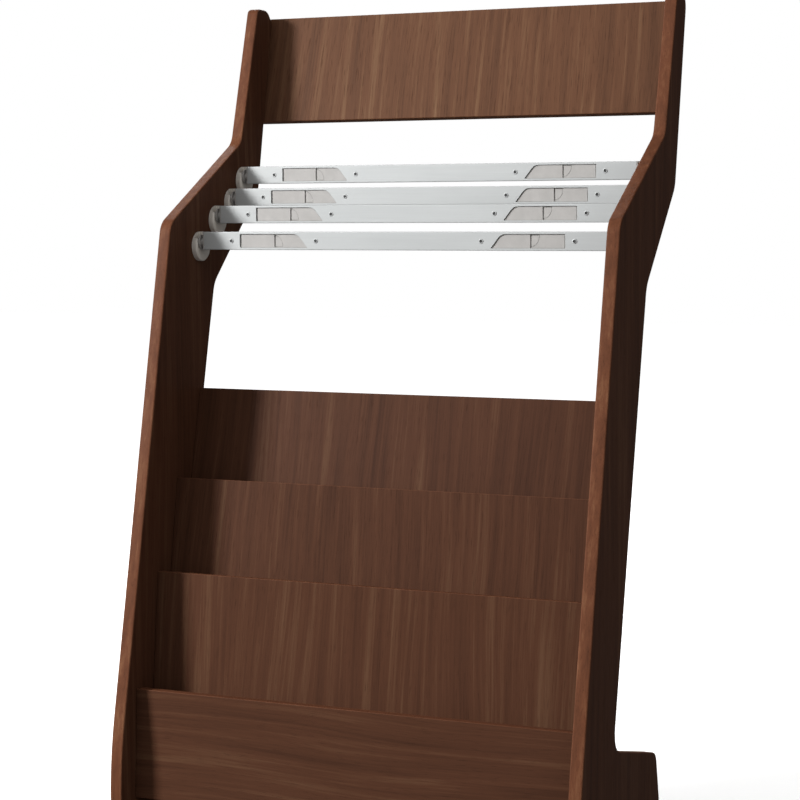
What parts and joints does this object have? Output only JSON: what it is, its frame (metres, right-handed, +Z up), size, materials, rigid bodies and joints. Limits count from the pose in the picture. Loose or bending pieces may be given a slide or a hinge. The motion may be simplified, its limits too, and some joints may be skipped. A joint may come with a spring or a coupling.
{
  "type": "newspaper rack",
  "caption": "Free-standing walnut newspaper rack with S-shaped side panels, a header board, leaning magazine pockets and lift-out newspaper clamps with hinged jaws.",
  "frame": {"origin": "on the floor, at the middle of the rack's width and depth", "axes": "+X to the reader's right along the boards, -Y towards the reader, +Z up"},
  "size_m": [0.7, 0.54, 1.27],
  "materials": {
    "walnut_laminate": "satin walnut-grain laminate",
    "warm_grey_plastic": "satin moulded plastic",
    "pale_grey_plastic": "satin moulded plastic",
    "satin_aluminium": "satin anodised",
    "zinc_plated_steel": "zinc plated",
    "black_plastic": "moulded plastic"
  },
  "bodies": {
    "rack": {"side_panel_left": "walnut_laminate", "side_panel_right": "walnut_laminate", "header_board": "walnut_laminate", "rear_board": "walnut_laminate", "upper_pocket_front": "walnut_laminate", "middle_pocket_front": "walnut_laminate", "lower_pocket_front": "walnut_laminate", "upper_pocket_floor": "walnut_laminate", "middle_pocket_floor": "walnut_laminate", "lower_pocket_floor": "walnut_laminate", "toe_rail": "walnut_laminate", "rear_stretcher": "walnut_laminate", "header_screw_left_lower": "zinc_plated_steel", "header_screw_left_upper": "zinc_plated_steel", "header_screw_right_lower": "zinc_plated_steel", "header_screw_right_upper": "zinc_plated_steel", "glide_left_front": "black_plastic", "glide_left_rear": "black_plastic", "glide_right_front": "black_plastic", "glide_right_rear": "black_plastic", "socket_left_1": "warm_grey_plastic", "socket_left_2": "warm_grey_plastic", "socket_left_3": "warm_grey_plastic", "socket_left_4": "warm_grey_plastic", "socket_right_1": "warm_grey_plastic", "socket_right_2": "warm_grey_plastic", "socket_right_3": "warm_grey_plastic", "socket_right_4": "warm_grey_plastic", "socket_screw_left_1": "zinc_plated_steel", "socket_screw_left_2": "zinc_plated_steel", "socket_screw_left_3": "zinc_plated_steel", "socket_screw_left_4": "zinc_plated_steel", "socket_screw_right_1": "zinc_plated_steel", "socket_screw_right_2": "zinc_plated_steel", "socket_screw_right_3": "zinc_plated_steel", "socket_screw_right_4": "zinc_plated_steel"},
    "clamp_1": {"clamp_1_front_bar": "satin_aluminium", "clamp_1_end_plug_left": "pale_grey_plastic", "clamp_1_end_plug_right": "pale_grey_plastic"},
    "clamp_1_jaw": {"clamp_1_jaw": "satin_aluminium"},
    "clamp_1_lock_left": {"clamp_1_lock_left": "pale_grey_plastic"},
    "clamp_1_lock_right": {"clamp_1_lock_right": "pale_grey_plastic"},
    "clamp_2": {"clamp_2_front_bar": "satin_aluminium", "clamp_2_end_plug_left": "pale_grey_plastic", "clamp_2_end_plug_right": "pale_grey_plastic"},
    "clamp_2_jaw": {"clamp_2_jaw": "satin_aluminium"},
    "clamp_2_lock_left": {"clamp_2_lock_left": "pale_grey_plastic"},
    "clamp_2_lock_right": {"clamp_2_lock_right": "pale_grey_plastic"},
    "clamp_3": {"clamp_3_front_bar": "satin_aluminium", "clamp_3_end_plug_left": "pale_grey_plastic", "clamp_3_end_plug_right": "pale_grey_plastic"},
    "clamp_3_jaw": {"clamp_3_jaw": "satin_aluminium"},
    "clamp_3_lock_left": {"clamp_3_lock_left": "pale_grey_plastic"},
    "clamp_3_lock_right": {"clamp_3_lock_right": "pale_grey_plastic"},
    "clamp_4": {"clamp_4_front_bar": "satin_aluminium", "clamp_4_end_plug_left": "pale_grey_plastic", "clamp_4_end_plug_right": "pale_grey_plastic"},
    "clamp_4_jaw": {"clamp_4_jaw": "satin_aluminium"},
    "clamp_4_lock_left": {"clamp_4_lock_left": "pale_grey_plastic"},
    "clamp_4_lock_right": {"clamp_4_lock_right": "pale_grey_plastic"}
  },
  "joints": [
    {"name": "clamp_1_lift", "type": "slide", "parent": "rack", "child": "clamp_1", "axis": [0, 0, 1], "range_m": [0, 0.12]},
    {"name": "clamp_1_jaw_hinge", "type": "hinge", "parent": "clamp_1", "child": "clamp_1_jaw", "pos_m": [0, 0.1333, 1.0164], "axis": [1, 0, 0], "range_deg": [0, 20]},
    {"name": "clamp_1_lock_left_slide", "type": "slide", "parent": "clamp_1", "child": "clamp_1_lock_left", "axis": [-1, 0, 0], "range_m": [0, 0.006]},
    {"name": "clamp_1_lock_right_slide", "type": "slide", "parent": "clamp_1", "child": "clamp_1_lock_right", "axis": [1, 0, 0], "range_m": [0, 0.006]},
    {"name": "clamp_2_lift", "type": "slide", "parent": "rack", "child": "clamp_2", "axis": [0, 0, 1], "range_m": [0, 0.12]},
    {"name": "clamp_2_jaw_hinge", "type": "hinge", "parent": "clamp_2", "child": "clamp_2_jaw", "pos_m": [0, 0.0928, 0.9824], "axis": [1, 0, 0], "range_deg": [0, 20]},
    {"name": "clamp_2_lock_left_slide", "type": "slide", "parent": "clamp_2", "child": "clamp_2_lock_left", "axis": [-1, 0, 0], "range_m": [0, 0.006]},
    {"name": "clamp_2_lock_right_slide", "type": "slide", "parent": "clamp_2", "child": "clamp_2_lock_right", "axis": [1, 0, 0], "range_m": [0, 0.006]},
    {"name": "clamp_3_lift", "type": "slide", "parent": "rack", "child": "clamp_3", "axis": [0, 0, 1], "range_m": [0, 0.12]},
    {"name": "clamp_3_jaw_hinge", "type": "hinge", "parent": "clamp_3", "child": "clamp_3_jaw", "pos_m": [0, 0.0413, 0.9564], "axis": [1, 0, 0], "range_deg": [0, 20]},
    {"name": "clamp_3_lock_left_slide", "type": "slide", "parent": "clamp_3", "child": "clamp_3_lock_left", "axis": [-1, 0, 0], "range_m": [0, 0.006]},
    {"name": "clamp_3_lock_right_slide", "type": "slide", "parent": "clamp_3", "child": "clamp_3_lock_right", "axis": [1, 0, 0], "range_m": [0, 0.006]},
    {"name": "clamp_4_lift", "type": "slide", "parent": "rack", "child": "clamp_4", "axis": [0, 0, 1], "range_m": [0, 0.12]},
    {"name": "clamp_4_jaw_hinge", "type": "hinge", "parent": "clamp_4", "child": "clamp_4_jaw", "pos_m": [0, -0.0137, 0.9179], "axis": [1, 0, 0], "range_deg": [0, 20]},
    {"name": "clamp_4_lock_left_slide", "type": "slide", "parent": "clamp_4", "child": "clamp_4_lock_left", "axis": [-1, 0, 0], "range_m": [0, 0.006]},
    {"name": "clamp_4_lock_right_slide", "type": "slide", "parent": "clamp_4", "child": "clamp_4_lock_right", "axis": [1, 0, 0], "range_m": [0, 0.006]}
  ]
}
